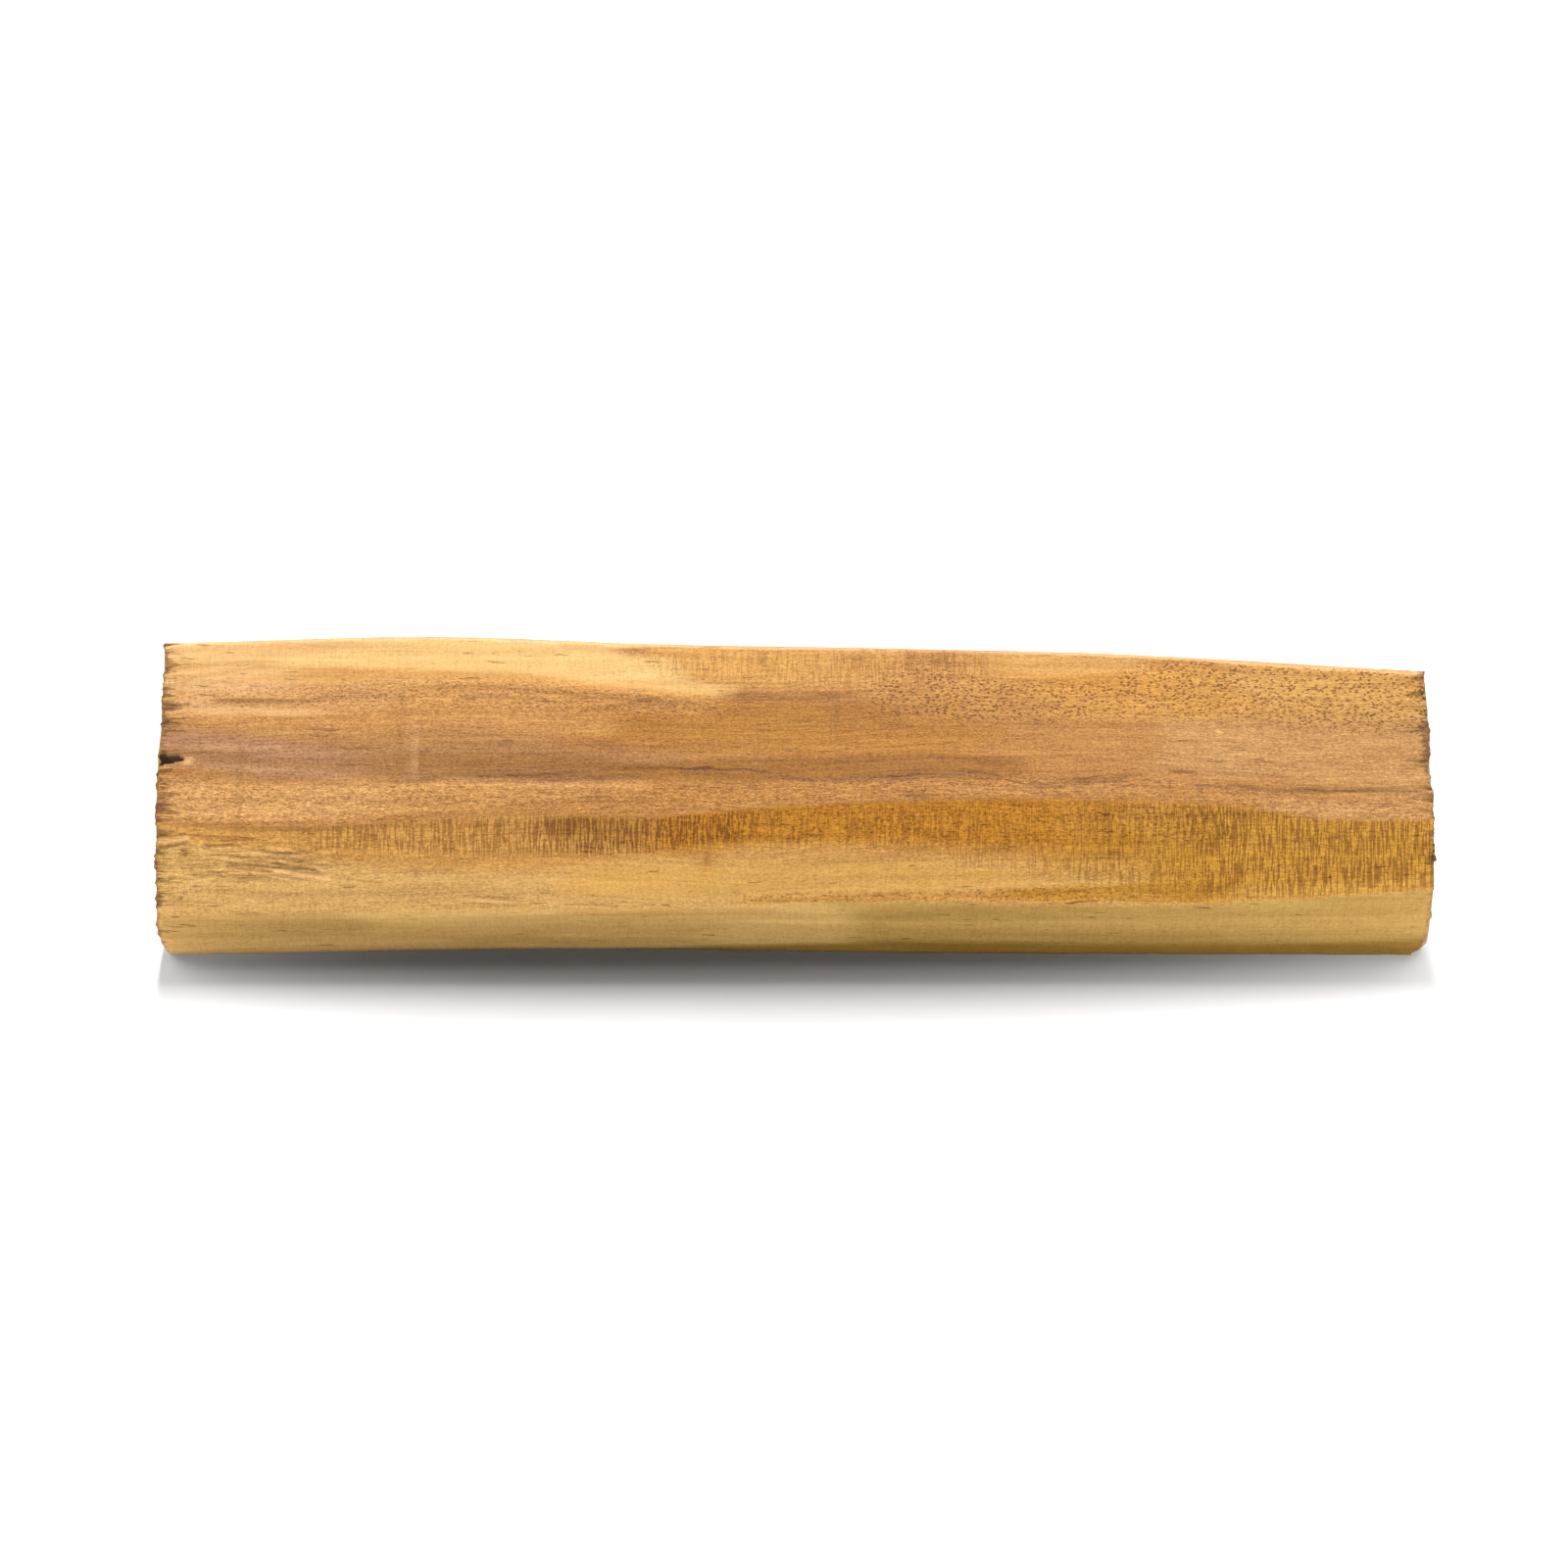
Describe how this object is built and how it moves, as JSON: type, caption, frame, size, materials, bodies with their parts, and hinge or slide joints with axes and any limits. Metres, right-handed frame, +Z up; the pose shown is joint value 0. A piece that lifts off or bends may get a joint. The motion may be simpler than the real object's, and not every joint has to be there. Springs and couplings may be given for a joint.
{
  "type": "sandalwood stick",
  "caption": "Short stick of pale sandalwood heartwood, hewn into long flat facets and sawn square at both ends, lying on its widest facet.",
  "frame": {"origin": "under the middle of the stick, on the surface it lies on: the bottom centre of its bounding box", "axes": "+X runs along the stick and the grain, from the end with the fibre hole to the narrower end; +Y points away from the two facets that the picture shows best; +Z is up"},
  "size_m": [0.1302, 0.0326, 0.0283],
  "materials": {
    "sandalwood": "bare knife-cut wood, matt to faintly waxy"
  },
  "bodies": {
    "root": {"sandalwood_stick": "sandalwood"}
  },
  "joints": []
}
